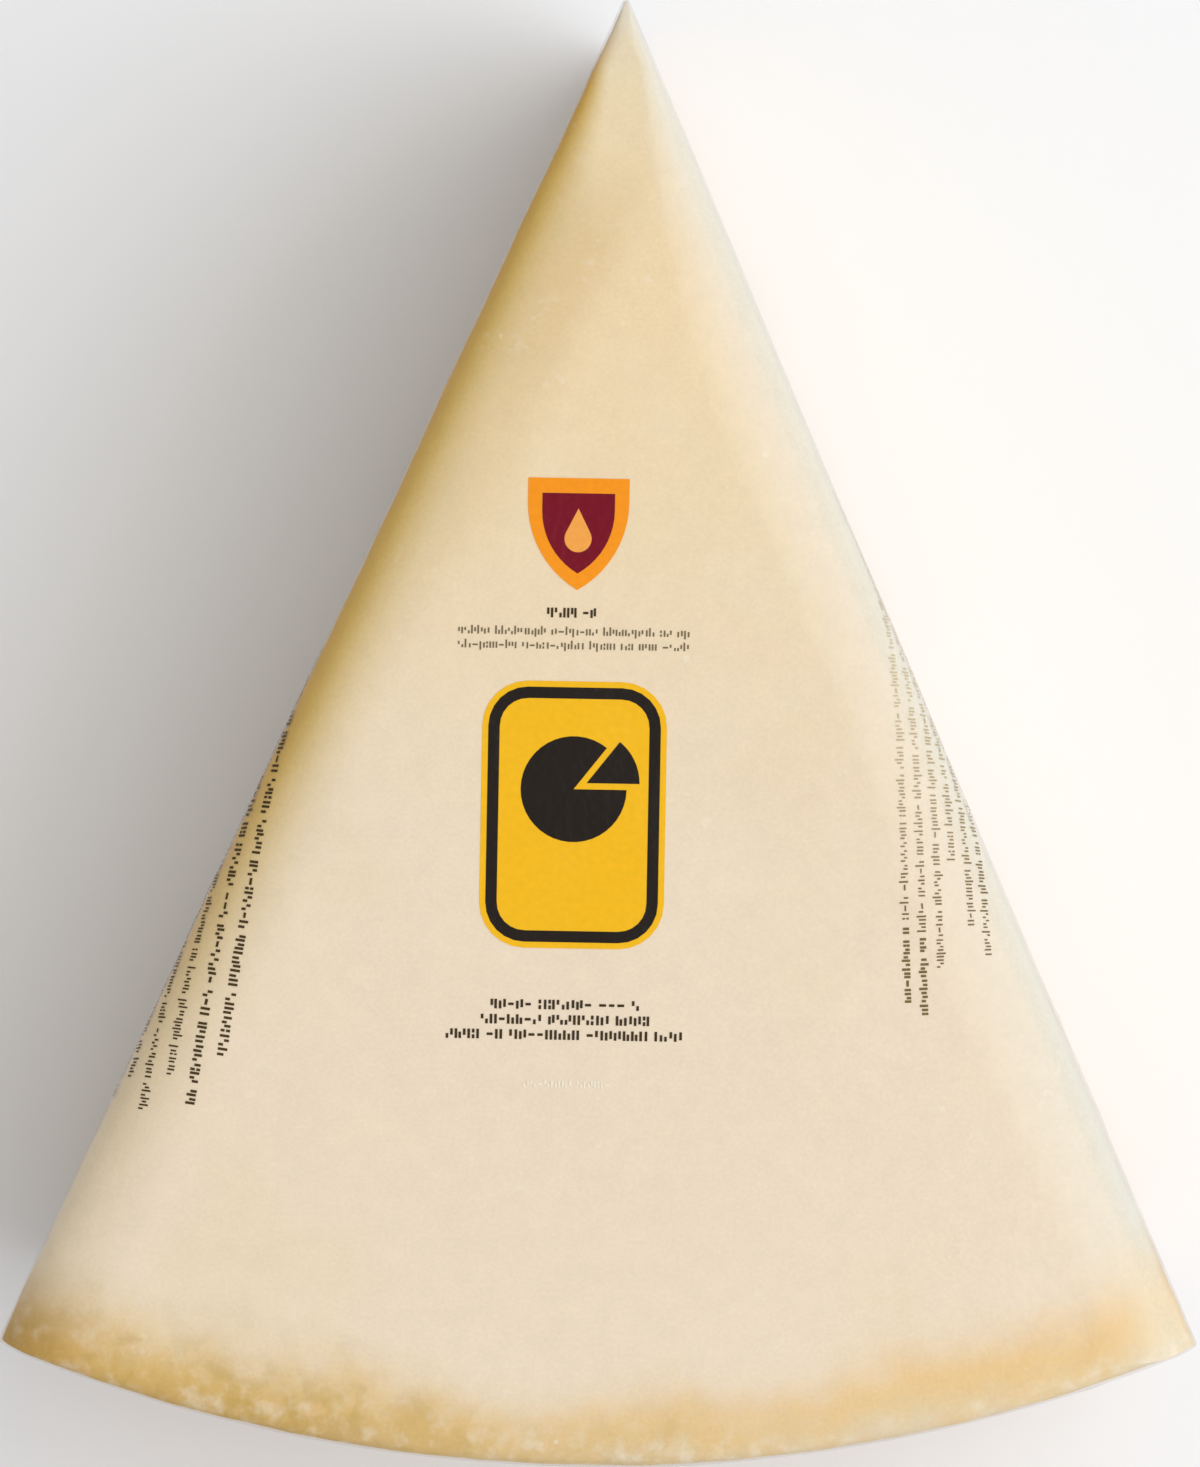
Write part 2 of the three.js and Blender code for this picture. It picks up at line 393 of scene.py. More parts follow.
# The share of the full width that the rolled edges have, which grows from near the tip.
ROLL_GROWS = 20 * MM  # from the wheel's axis
roll_share = (from_axis, -1 / TIP_REACH, ROLL_GROWS / TIP_REACH)
roll_share = node(grana, "Math", roll_share, operation="MULTIPLY_ADD")
roll_share = node(grana, "Math", (roll_share,), operation="EXPONENT")
roll_share = node(grana, "Math", (roll_share, TIP_SHARE - 1, 1.0), operation="MULTIPLY_ADD")
roll_share = node(grana, "Math", (roll_share, TIP_SHARE), operation="MAXIMUM")

# The left cut's rolled edge, painted shade from its edge inwards: deep golden, greyer towards the rind.
off_tip = node(grana, "MapRange", (from_axis, 11 * MM, 24 * MM), **SMOOTH)
to_rind = node(grana, "MapRange", (reach, 0.55, 0.9), **SMOOTH)
within = node(grana, "Math", (left_inset, 20 * MM), operation="DIVIDE")
golden_painted_shade = ((0.0, "#D6A445"), (0.1, "#DEBB6A"), (0.2, "#E6C888"), (0.35, "#EBD29E"))
golden_painted_shade = node(grana, "ValToRGB", (within,), stops=golden_painted_shade)
grey_painted_shade = node(grana, "ValToRGB", (within,), stops=((0.0, "#EDDABA"), (0.4, "#EFDDBE")))
left_painted_shade = node(grana, "Mix", {0: to_rind, 6: golden_painted_shade, 7: grey_painted_shade}, **COLOURS)
left_painted_shade = node(grana, "Mix", {0: off_tip, 6: srgb("#E6D8BC"), 7: left_painted_shade}, **COLOURS)

# The right cut's rolled edge, a painted sheen: nearly white at its edge, and more so towards the rind.
outward = node(grana, "Math", (right_inset, 10 * MM), operation="DIVIDE")
upper_painted_sheen = ((0.0, "#DEDACE"), (0.15, "#E3DCCA"), (0.4, "#E7DAC4"))
upper_painted_sheen = node(grana, "ValToRGB", (outward,), stops=upper_painted_sheen)
lower_painted_sheen = ((0.0, "#D8D5CB"), (0.15, "#DFDBCD"), (0.4, "#E5DBC8"))
lower_painted_sheen = node(grana, "ValToRGB", (outward,), stops=lower_painted_sheen)
right_painted_sheen = node(grana, "Mix", {0: to_rind, 6: upper_painted_sheen, 7: lower_painted_sheen}, **COLOURS)

# Both painted tones together, on the rolled edges, then down the cuts' sides, the left a little more
# golden.
edge_painted_light = node(grana, "Mix", {0: leftward, 6: right_painted_sheen, 7: left_painted_shade}, **COLOURS)
side_tone = node(grana, "Mix", {0: leftward, 6: srgb("#E9D3A8"), 7: srgb("#E7CD9A")}, **COLOURS)
down_side = node(grana, "MapRange", (fall, 6 * MM, 20 * MM), **SMOOTH)
cut_tone = node(grana, "Mix", {0: down_side, 6: edge_painted_light, 7: side_tone}, **COLOURS)
# How far in from the nearer cut the painted shade and sheen reach, across the rolled edges.
nearest = node(grana, "Math", (left_inset, right_inset, 4 * MM), operation="SMOOTH_MIN")
nearest = node(grana, "Math", (nearest, roll_share), operation="DIVIDE")
painted_light_reach = node(grana, "MapRange", (nearest, 12.5 * MM, 2 * MM), **SMOOTH)
cut_paste = node(grana, "Mix", {0: painted_light_reach, 6: paste, 7: cut_tone}, **COLOURS)

# The rind's reach inwards: deepest at both ends of the curved side.
rightward = node(grana, "MapRange", (sideways, -62 * MM, 45 * MM), **SMOOTH)
leftmost = node(grana, "Math", (1.0, rightward), operation="SUBTRACT")
deeper = node(grana, "MapRange", (sideways, 30 * MM, 62 * MM, 0.0, 4 * MM), **SMOOTH)
deeper = node(grana, "Math", (leftmost, 2 * MM, deeper), operation="MULTIPLY_ADD")
rind_depth = node(grana, "Math", (ragged_depth, deeper), operation="SUBTRACT")
rind_share = node(grana, "MapRange", (rind_depth, 13 * MM, 1 * MM), **SMOOTH)
uneven_depth = node(grana, "Math", (ragged, 0.5, depth), operation="MULTIPLY_ADD")
in_rind = node(grana, "Math", (uneven_depth, 12 * MM), operation="DIVIDE")

# The rind's tones from its skin inwards: olive and dark at the left, partly painted shade, and
# orange-golden at the right, whitish at the skin, partly painted sheen.
left_rind_painted_shade = ((0.0, "#CAA661"), (0.3, "#D9B570"), (0.7, "#E2C386"), (1.0, "#E9CF9E"))
left_rind_painted_shade = node(grana, "ValToRGB", (in_rind,), stops=left_rind_painted_shade)
right_rind_painted_sheen = ((0.0, "#E2D0AE"), (0.22, "#E8CE9E"), (0.5, "#EDCB91"), (1.0, "#ECCD9E"))
right_rind_painted_sheen = node(grana, "ValToRGB", (in_rind,), stops=right_rind_painted_sheen)
rind = node(grana, "Mix", {0: rightward, 6: left_rind_painted_shade, 7: right_rind_painted_sheen}, **COLOURS)

# Stains and flecks in it. The darker left and paler right ends are painted shade and painted sheen.
stain = node(grana, "TexNoise", {"Vector": place, "Scale": 1 / (9 * MM), "Detail": 4.0})
stain = node(grana, "MapRange", (stain, 0.42, 0.66, 0.0, 0.45), **SMOOTH)
stained = node(grana, "Mix", {0: rightward, 6: srgb("#C7A254"), 7: srgb("#EDC686")}, **COLOURS)
rind = node(grana, "Mix", {0: stain, 6: rind, 7: stained}, **COLOURS)
flecks = {"Vector": place, "Scale": 1 / (3.6 * MM), "Detail": 4.0, "Distortion": 0.5}
olive_fleck = node(grana, "TexNoise", flecks)
olive_fleck = node(grana, "MapRange", (olive_fleck, 0.45, 0.7, 0.0, 0.45), **SMOOTH)
olive_fleck = node(grana, "Math", (olive_fleck, leftmost), operation="MULTIPLY")
rind = node(grana, "Mix", {0: olive_fleck, 6: rind, 7: srgb("#BC9E50")}, **COLOURS)
flecks = {"Vector": place, "Scale": 1 / (2.3 * MM), "Detail": 3.0, "Distortion": 0.5}
pink_fleck = node(grana, "TexNoise", flecks)
pink_fleck = node(grana, "MapRange", (pink_fleck, 0.52, 0.7, 0.0, 0.4), **SMOOTH)
rind = node(grana, "Mix", {0: pink_fleck, 6: rind, 7: srgb("#E9C79C")}, **COLOURS)
painted_shade_heel = node(grana, "MapRange", (left_inset, 15 * MM, 3 * MM, 0.0, 0.6), **SMOOTH)
rind = node(grana, "Mix", {0: painted_shade_heel, 6: rind, 7: srgb("#B98F47")}, **COLOURS)
painted_sheen_heel = node(grana, "MapRange", (right_inset, 11 * MM, 2 * MM, 0.0, 0.75), **SMOOTH)
rind = node(grana, "Mix", {0: painted_sheen_heel, 6: rind, 7: srgb("#E6DAC0")}, **COLOURS)

# Down the barrel side the rind is an uneven amber.
skin = node(grana, "TexNoise", {"Vector": place, "Scale": 1 / (24 * MM), "Detail": 5.0})
skin = node(grana, "ValToRGB", (skin,), stops=((0.3, "#BE8F4B"), (0.5, "#CBA05C"), (0.7, "#D6B275")))
down_barrel = node(grana, "MapRange", (fall, 2 * MM, 11 * MM), **SMOOTH)
rind = node(grana, "Mix", {0: down_barrel, 6: rind, 7: skin}, **COLOURS)
body = node(grana, "Mix", {0: rind_share, 6: cut_paste, 7: rind}, **COLOURS)

# Chalky blotches where the film lifts the rind's rim, wider and fainter at the left.
near_rim = node(grana, "MapRange", (fall, 9 * MM, 2 * MM, 0.08, 1.0), **SMOOTH)
chalk_reach = node(grana, "Math", (leftmost, 9 * MM, 5 * MM), operation="MULTIPLY_ADD")
chalk_place = node(grana, "MapRange", (side_depth, chalk_reach, 0.5 * MM), **SMOOTH)
chalk_place = node(grana, "Math", (chalk_place, near_rim), operation="MULTIPLY")
fainter = node(grana, "Math", (leftmost, -0.35, 0.8), operation="MULTIPLY_ADD")
chalk_place = node(grana, "Math", (chalk_place, fainter), operation="MULTIPLY")
chalk = node(grana, "TexNoise", {"Vector": place, "Scale": 1 / (2.6 * MM), "Detail": 4.0})
chalk = node(grana, "MapRange", (chalk, 0.46, 0.78), **SMOOTH)
chalk = node(grana, "Math", (chalk, chalk_place), operation="MULTIPLY")
body = node(grana, "Mix", {0: chalk, 6: body, 7: srgb("#EFE4CE")}, **COLOURS)

# Pale scuffs here and there on the flat.
scuff_place = node(grana, "TexNoise", {"Vector": place, "Scale": 1 / (17 * MM), "Detail": 2.0})
scuff_place = node(grana, "MapRange", (scuff_place, 0.5, 0.66), **SMOOTH)
scuffs = node(grana, "TexNoise", {"Vector": place, "Scale": 1 / (1.7 * MM), "Detail": 1.0})
scuffs = node(grana, "MapRange", (scuffs, 0.6, 0.8, 0.0, 0.22), **SMOOTH)
scuffs = node(grana, "Math", (scuffs, scuff_place), operation="MULTIPLY")
body = node(grana, "Mix", {0: scuffs, 6: body, 7: srgb("#F7EFDF")}, **COLOURS)

# Granules of the paste, 0.5 mm and 3 mm across. The larger stand out more on the cut sides.
on_side = node(grana, "MapRange", (fall, 5 * MM, 14 * MM), **SMOOTH)
grain = node(grana, "TexNoise", {"Vector": place, "Scale": 1 / (0.5 * MM), "Detail": 2.0})
grain = node(grana, "Math", (grain, 0.14, 0.93), operation="MULTIPLY_ADD")
granules = node(grana, "TexNoise", {"Vector": place, "Scale": 1 / (3 * MM), "Detail": 3.0})
granule_value = node(grana, "Math", (granules, 0.5), operation="SUBTRACT")
granule_value = node(grana, "Math", (granule_value, 0.16), operation="MULTIPLY")
stronger = node(grana, "Math", (on_side, 1.5, 0.5), operation="MULTIPLY_ADD")
granule_value = node(grana, "Math", (granule_value, stronger), operation="MULTIPLY")
grain_value = node(grana, "Math", (grain, granule_value), operation="ADD")
mottled = node(grana, "VectorMath", {0: body, "Scale": grain_value}, operation="SCALE")

# Crystals of amino acid, up to 1 mm across.
spots = {"Vector": place, "Scale": 1 / (5 * MM), "Randomness": 1.0}
from_spot = node(grana, "TexVoronoi", spots, out="Distance")
chosen = node(grana, "SeparateColor", (from_spot.node.outputs["Color"],))
size = node(grana, "Math", (chosen, 5.0), operation="POWER")
size = node(grana, "Math", (size, 0.09), operation="MULTIPLY")
crystal = node(grana, "Math", (from_spot, size), operation="LESS_THAN")
clearer = node(grana, "Math", (on_side, 0.3, 0.3), operation="MULTIPLY_ADD")
crystal = node(grana, "Math", (crystal, clearer), operation="MULTIPLY")
specked = node(grana, "Mix", {0: crystal, 6: mottled, 7: srgb("#F8F1E2")}, **COLOURS)


def creases(material, place, size, width):
    """Thin wandering lines, where noise of that size passes through its middle value."""
    wander = {"Vector": place, "Scale": 1 / size, "Detail": 1.5, "Distortion": 1.2}
    field = node(material, "Math", (node(material, "TexNoise", wander), 0.5), operation="SUBTRACT")
    field = node(material, "Math", (field,), operation="ABSOLUTE")
    return node(material, "MapRange", (field, width, 0.0), **SMOOTH)


# Short fine cracks in the cut sides, none in the rind.
crack_place = node(grana, "TexNoise", {"Vector": place, "Scale": 1 / (21 * MM), "Detail": 2.0})
crack_place = node(grana, "MapRange", (crack_place, 0.58, 0.66), **SMOOTH)
cracks = creases(grana, place, 17 * MM, 0.012)
cracks = node(grana, "Math", (cracks, crack_place), operation="MULTIPLY")
cracks = node(grana, "Math", (cracks, on_side), operation="MULTIPLY")
off_rind = node(grana, "Math", (1.0, rind_share), operation="SUBTRACT", use_clamp=True)
cracks = node(grana, "Math", (cracks, off_rind), operation="MULTIPLY")
crack_tint = node(grana, "Math", (cracks, 0.25), operation="MULTIPLY")
specked = node(grana, "Mix", {0: crack_tint, 6: specked, 7: srgb("#B98F52")}, **COLOURS)

# The relief: the crumb of the cut sides, in grains about 2.5 mm across, and the granules.
crumb = node(grana, "TexNoise", {"Vector": place, "Scale": 1 / (2.5 * MM), "Detail": 1.0})
crumb = node(grana, "Math", (crumb, on_side), operation="MULTIPLY")
relief = node(grana, "Bump", {"Height": crumb, "Strength": 0.6, "Distance": 0.5 * MM})
relief = {"Height": granules, "Strength": 0.25, "Distance": 0.3 * MM, "Normal": relief}
relief = node(grana, "Bump", relief)
surface = {"Base Color": specked, "Roughness": 0.7, "Specular IOR Level": 0.1, "Normal": relief}
surface = node(grana, "BsdfPrincipled", surface)
node(grana, "OutputMaterial", {"Surface": surface})

cheese = wedge_skin("cheese", cheese_relief)
cheese.data.materials.append(grana)
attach(cheese, "root")
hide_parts("cheese_wedge")


# ---- The film ----
# Clear multilayer vacuum film, about 0.1 mm thick, drawn tight and shrunk on to every face. It is
# pulled smooth on the flat cut and gathers in small pleats at the upright edges.

PLEAT_SIZE, PLEAT = 5 * MM, 0.15 * MM
PLEAT_REACH = 26 * MM  # from the upright edges
CREASE_SIZE, CREASE = 30 * MM, 0.15 * MM
CREASE_WIDTH = 0.06  # in the noise's own values
BEND_SHIFTS = (Vector((0, 0, 0)), Vector((31, 7, 2)), Vector((5, 43, 19)))  # for the three axes


def film_relief(place, normal):
    """The film's own folds, which stand off the cheese: pleats near the upright edges, and long
    thin creases all down the sides."""
    to_left = abs((place.xy - APEX).dot(LEFT.out))
    to_right = abs((place.xy - APEX).dot(RIGHT.out))
    to_rim = abs(WHEEL_RADIUS - (place.xy - AXIS).length)
    from_heel = max(min(to_left, to_rim), min(to_right, to_rim))
    near_edge = 1 - smoothstep(2 * MM, PLEAT_REACH, from_heel)
    upright = 1 - smoothstep(0.2, 0.8, abs(normal.z))
    across = Vector((place.x * 0.25, place.y * 0.25, place.z)) / PLEAT_SIZE
    pleats = max(0, noise.noise(across + Vector((2, 9, 4)))) * PLEAT * near_edge
    bend = Vector([noise.noise(place / (17 * MM) + shift) for shift in BEND_SHIFTS]) * 0.25
    wander = place / CREASE_SIZE + Vector((5, 0, 8)) + bend
    crease = max(0, 1 - abs(noise.noise(wander)) / CREASE_WIDTH) ** 2 * CREASE
    crease *= smoothstep(-0.1, 0.3, noise.noise(place / (38 * MM) + Vector((1, 6, 3))))
    return settled(place) + (pleats + crease) * upright * smoothstep(0, 5 * MM, place.z)


# Polyamide and polyethylene film: colourless and glossy. On the flat it clings and its gloss is
# broken by the paste's grain, and down the sides it is slacker and its creases catch the light.
wrap = new_material("clear_vacuum_film")
wrap_place = node(wrap, "TexCoord", (), out="Object")
wrap_height = node(wrap, "SeparateXYZ", (wrap_place,), out="Z")
slack = node(wrap, "MapRange", (wrap_height, HALF_HEIGHT - 5 * MM, HALF_HEIGHT - 14 * MM), **SMOOTH)

# Its relief: the paste's grain, dimples 15 mm across, and here and there a long fold.
grain = node(wrap, "TexNoise", {"Vector": wrap_place, "Scale": 1 / (1.3 * MM), "Detail": 1.0})
relief = node(wrap, "Bump", {"Height": grain, "Strength": 0.4, "Distance": 0.12 * MM})
dimples = node(wrap, "TexNoise", {"Vector": wrap_place, "Scale": 1 / (15 * MM), "Detail": 1.0})
relief = {"Height": dimples, "Strength": 0.4, "Distance": 0.6 * MM, "Normal": relief}
relief = node(wrap, "Bump", relief)
gathered = node(wrap, "TexNoise", {"Vector": wrap_place, "Scale": 1 / (45 * MM), "Detail": 0.0})
gathered = node(wrap, "MapRange", (gathered, 0.5, 0.62), **SMOOTH)
folds = creases(wrap, wrap_place, 36 * MM, 0.03)
folds = node(wrap, "Math", (folds, gathered), operation="MULTIPLY")
folds = node(wrap, "Math", (folds, slack), operation="MULTIPLY")
relief = {"Height": folds, "Strength": 0.8, "Distance": 1.2 * MM, "Normal": relief}
relief = node(wrap, "Bump", relief)

# Its gloss: faint where it is seen straight on, and stronger at grazing angles, up to a limit.
facing = node(wrap, "LayerWeight", {"Blend": 0.5, "Normal": relief}, out="Facing")
grazing = node(wrap, "Math", (facing, 4.0), operation="POWER")
grazing = node(wrap, "Math", (grazing, 0.5), operation="MULTIPLY")
grazing = node(wrap, "Math", (grazing, 0.22), operation="MINIMUM")
least = node(wrap, "Math", (slack, 0.1, 0.02), operation="MULTIPLY_ADD")
shine = node(wrap, "Math", (grazing, least), operation="ADD")
clear = node(wrap, "BsdfTransparent", ())
gloss = node(wrap, "BsdfGlossy", {"Roughness": 0.17, "Normal": relief})
surface = node(wrap, "MixShader", (shine, clear, gloss))
node(wrap, "OutputMaterial", {"Surface": surface})

film = wedge_skin("film", film_relief)
film.data.materials.append(wrap)
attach(film, "root")


# ---- The print ----
# Inks printed on the film's inner face before it is sealed: a yellow badge with a cut wheel on
# it, an orange crest with a milk drop, and rows of plain bars and dashes for the small print.
# The badge, the crest and the rows stand upright on the wedge. The side blocks run over its edges.

COLUMN_X = -4.6 * MM  # the badge, the crest and the rows are centred on this line
INK_DEPTH = 0.11 * MM  # the first ink's depth under the film's surface
INK_STEP = 0.025 * MM  # each further ink lies this much higher
INK_THICK = 0.015 * MM
INK_CELL = 3 * MM  # large shapes are cut into cells of this size, to follow the film
ROLL_STEPS = 180  # of the quarter turn over an upper edge

film_tree = BVHTree.FromPolygons(
    [v.co for v in film.data.vertices], [tuple(p.vertices) for p in film.data.polygons]
)

roll_lengths = [0]  # the film's length over the roll, up to each turn
for turn in spread(0, math.pi / 2, ROLL_STEPS):
    pace = math.hypot(ROLL_ACROSS * math.cos(turn), ROLL_DOWN * math.sin(turn))
    roll_lengths.append(roll_lengths[-1] + pace * math.pi / 2 / ROLL_STEPS)


def folded(x, y):
    """Where a point of the flat film goes once the film is folded over the wedge's upper edges."""
    point = Vector((x, y))
    for cut in (LEFT, RIGHT):
        over = (point - APEX).dot(cut.out) + ROLL_ACROSS
        if over > 0:
            turn = bisect.bisect(roll_lengths, over) / ROLL_STEPS * math.pi / 2
            turn = min(turn, math.pi / 2)
            down = ROLL_DOWN * (1 - math.cos(turn)) + max(0, over - roll_lengths[-1])
            point += cut.out * (ROLL_ACROSS * math.sin(turn) - over)
            return Vector((point.x, point.y, HALF_HEIGHT - down))
    return Vector((x, y, HALF_HEIGHT))


def cut_cells(bm):
    """Cuts flat shapes into cells."""
    geom = [*bm.verts, *bm.edges, *bm.faces]
    corners = [vert.co.copy() for vert in bm.verts]
    for axis in (0, 1):
        normal = Vector((1 - axis, axis, 0))
        low, high = min(c[axis] for c in corners), max(c[axis] for c in corners)
        for where in spread(low, high, max(1, round((high - low) / INK_CELL)))[1:]:
            plane = {"plane_co": normal * where, "plane_no": normal}
            geom = bmesh.ops.bisect_plane(bm, geom=geom, dist=1e-6, **plane)["geom"]


def lay(bm, name, layer, material):
    """Folds flat ink shapes over the wedge, just under the film, and gives them a thickness."""
    bmesh.ops.triangulate(bm, faces=bm.faces)
    for vert in bm.verts:
        spot, normal, _, _ = film_tree.find_nearest(folded(vert.co.x, vert.co.y))
        vert.co = spot - normal * (INK_DEPTH - INK_STEP * layer)
    bmesh.ops.recalc_face_normals(bm, faces=bm.faces)
    bmesh.ops.solidify(bm, geom=bm.faces, thickness=INK_THICK)
    mesh = bpy.data.meshes.new(name)
    bm.to_mesh(mesh)
    bm.free()
    mesh.materials.append(material)
    piece = bpy.data.objects.new(name, mesh)
    bpy.context.collection.objects.link(piece)
    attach(piece, "root")


def add_face(bm, points):
    """A flat face through points of the plan."""
    return bm.faces.new([bm.verts.new((*p, 0)) for p in points])


def arc_points(centre, radius, start, stop, steps):
    """Points round an arc, both ends included, with its angles in degrees."""
    turns = [math.radians(start + (stop - start) * i / steps) for i in range(steps + 1)]
    return [(centre[0] + radius * math.cos(a), centre[1] + radius * math.sin(a)) for a in turns]


def rounded_field(centre, width, height, corner):
    """The outline of a rectangle with round corners."""
    points = []
    for sx, sy, start in ((1, 1, 0), (-1, 1, 90), (-1, -1, 180), (1, -1, 270)):
        middle = (centre[0] + sx * (width / 2 - corner), centre[1] + sy * (height / 2 - corner))
        points += arc_points(middle, corner, start, start + 90, 6)
    return points


def shield(centre, width, height):
    """A shield with a flat top, straight shoulders and two arcs that meet at its foot."""
    drop = width * math.sin(math.radians(60))
    shoulder = centre[1] + drop - height / 2
    right = arc_points((centre[0] - width / 2, shoulder), width, 0, -60, 10)
    left = arc_points((centre[0] + width / 2, shoulder), width, 240, 180, 10)
    top = centre[1] + height / 2
    return right + left[1:] + [(centre[0] - width / 2, top), (centre[0] + width / 2, top)]


def ink(name, code, painted_sheen=None, stretch=None):
    """Flexographic ink under film: flat and even. Over a stretch along Y it can fade, a painted sheen.
    """
    look = new_material(name)
    spot = node(look, "TexCoord", (), out="Object")
    dots = node(look, "TexNoise", {"Vector": spot, "Scale": 1 / (0.9 * MM), "Detail": 2.0})
    strength = node(look, "MapRange", {"Value": dots, "To Min": 0.92, "To Max": 1.08})
    colour = srgb(code)[:3]
    if painted_sheen:
        along = node(look, "SeparateXYZ", (spot,), out="Y")
        share = node(look, "MapRange", (along, *stretch))
        colour = node(look, "Mix", {0: share, 6: srgb(code), 7: srgb(painted_sheen)}, **COLOURS)
    uneven = node(look, "VectorMath", {0: colour, "Scale": strength}, operation="SCALE")
    shader = {"Base Color": uneven, "Roughness": 0.7, "Specular IOR Level": 0.0}
    node(look, "OutputMaterial", {"Surface": node(look, "BsdfPrincipled", shader)})
    return look


BADGE = (COLUMN_X, -10.9 * MM)
BADGE_SIZE = (24.4 * MM, 35.3 * MM)
BADGE_CORNER = 6 * MM
CREST = (COLUMN_X, 26.2 * MM)
CREST_SIZE = (13.4 * MM, 14.8 * MM)
CREST_FIELD = (9.6 * MM, 10.6 * MM)  # the dark red shield within the orange one
DROP = (CREST[0], CREST[1] - 0.6 * MM)
DROP_RADIUS, DROP_TALL = 1.8 * MM, 4 * MM

bm = bmesh.new()
add_face(bm, rounded_field(BADGE, *BADGE_SIZE, BADGE_CORNER))
cut_cells(bm)
lay(bm, "print_yellow", 0, ink("yellow_ink", "#F8BE1C"))

bm = bmesh.new()
add_face(bm, shield(CREST, *CREST_SIZE))
cut_cells(bm)
lay(bm, "print_orange", 0, ink("orange_ink", "#FB9A1B"))

bm = bmesh.new()
add_face(bm, shield((CREST[0], CREST[1] + 0.1 * MM), *CREST_FIELD))
cut_cells(bm)
lay(bm, "print_red", 1, ink("dark_red_ink", "#7A0A22"))

bm = bmesh.new()
add_face(bm, arc_points(DROP, DROP_RADIUS, -210, 30, 16) + [(DROP[0], DROP[1] + DROP_TALL)])
lay(bm, "print_drop", 2, ink("orange_drop_ink", "#F7A94E"))

# The badge's dark line, inset from its rim, and its wheel of cheese with a wedge pulled out.
MARGIN, LINE = 0.8 * MM, 1.5 * MM
WHEEL = (BADGE[0], BADGE[1] + 3.4 * MM)
WHEEL_SIZE, SLICE, PULL = 7 * MM, 52, 1.9 * MM  # the slice's angle is in degrees
bm = bmesh.new()
line_size = (BADGE_SIZE[0] - 2 * MARGIN, BADGE_SIZE[1] - 2 * MARGIN)
line = add_face(bm, rounded_field(BADGE, *line_size, BADGE_CORNER - MARGIN))
line.normal_update()
bmesh.ops.inset_region(bm, faces=[line], thickness=LINE, use_even_offset=True, use_boundary=True)
bmesh.ops.delete(bm, geom=[f for f in bm.faces if len(f.verts) > 4], context="FACES")
add_face(bm, arc_points(WHEEL, WHEEL_SIZE, SLICE, 360, 36) + [WHEEL])
half_slice = math.radians(SLICE / 2)
pulled = (WHEEL[0] + PULL * math.cos(half_slice), WHEEL[1] + PULL * math.sin(half_slice))
add_face(bm, arc_points(pulled, WHEEL_SIZE, 0, SLICE, 8) + [pulled])
cut_cells(bm)
lay(bm, "print_badge_line", 1, ink("black_ink", "#231C16"))


# Each mark's strokes, from one end to the other, in a box one unit wide and high.
MARKS = (
    [[(0, 0), (0, 1)], [(1, 0), (1, 0.6)]],
    [[(0, 0.4), (0, 1)], [(1, 0), (1, 1)]],
    [[(0, 0), (0, 1)], [(1, 0), (1, 1)]],
    [[(0, 0), (0, 0.8)], [(1, 0.2), (1, 1)]],
    [[(0, 0.5), (1, 0.5)]],
    [[(0, 0), (0, 0.3)], [(0, 0.7), (0, 1)], [(1, 0), (1, 1)]],
    [[(0, 0.6), (0, 1)], [(1, 0), (1, 0.4)]],
    [[(0, 0), (0, 0.4)], [(1, 0.4), (1, 1)]],
)
REACHING_MARKS = (  # of small rows, above or below the rest
    [[(0, 0), (0, 1.4)], [(1, 0), (1, 0.6)]],
    [[(0, 0), (0, 1.4)], [(1, 0.4), (1, 1)]],
    [[(0, -0.4), (0, 1)], [(1, 0), (1, 0.8)]],
)


def draw_bar(bm, a, b, width):
    """A flat bar from a to b, and a little past both."""
    side = Vector((a.y - b.y, b.x - a.x)).normalized() * width / 2
    past = (b - a).normalized() * width * 0.3
    add_face(bm, [a - past + side, a - past - side, b + past - side, b + past + side])


def mark_row(bm, draw, start, run, length, tall, pitch, stroke, small=False):
    """A row of marks in groups, from start along run, in the place of small print. In small rows
    some marks reach above or below the rest."""
    run = Vector(run).normalized()
    rise = Vector((-run.y, run.x))
    high = 0.76 * tall if small else tall
    done, group = 0, draw.randint(3, 9)
    while done < length - pitch:
        wide = pitch * draw.choice((0.36, 0.42, 0.5))
        mark = draw.choice(MARKS)
        if small and draw.random() < 0.3:
            mark = draw.choice(REACHING_MARKS)
        corner = Vector(start) + run * (done + stroke / 2) + rise * stroke / 2
        for ends in mark:
            a, b = [corner + run * x * wide + rise * y * (high - stroke) for x, y in ends]
            draw_bar(bm, a, b, stroke)
        done += wide + stroke + pitch * 0.18
        group -= 1
        if group == 0:
            done += pitch * 0.5
            group = draw.randint(2, 9)


# Bold rows centred under the crest and under the badge, in millimetres: length, foot of the
# marks, their height, pitch and stroke.
draw = random.Random(4)
bm = bmesh.new()
for length, foot, tall, pitch, stroke in (
    (7.8, 15.1, 1.4, 1.2, 0.3),
    (20.9, -36.7, 1.4, 1.4, 0.34),
    (23.4, -38.7, 1.4, 1.4, 0.34),
    (32.6, -40.7, 1.4, 1.4, 0.34),
):
    start = (COLUMN_X - length / 2 * MM, foot * MM)
    mark_row(bm, draw, start, (1, 0), length * MM, tall * MM, pitch * MM, stroke * MM)
lay(bm, "print_bold_rows", 1, ink("dark_brown_ink", "#3E3018"))

bm = bmesh.new()
for foot in (12.8, 10.95):
    start = (COLUMN_X - 15.6 * MM, foot * MM)
    mark_row(bm, draw, start, (1, 0), 31.3 * MM, 1.2 * MM, 1.15 * MM, 0.2 * MM, small=True)
lay(bm, "print_small_rows", 1, ink("grey_brown_ink", "#75664A"))

bm = bmesh.new()
mark_row(bm, draw, (COLUMN_X - 6 * MM, -47 * MM), (1, 0), 12 * MM, 1 * MM, 1.1 * MM, 0.24 * MM)
lay(bm, "print_pale_row", 1, ink("pale_ink", "#F6EEDC"))

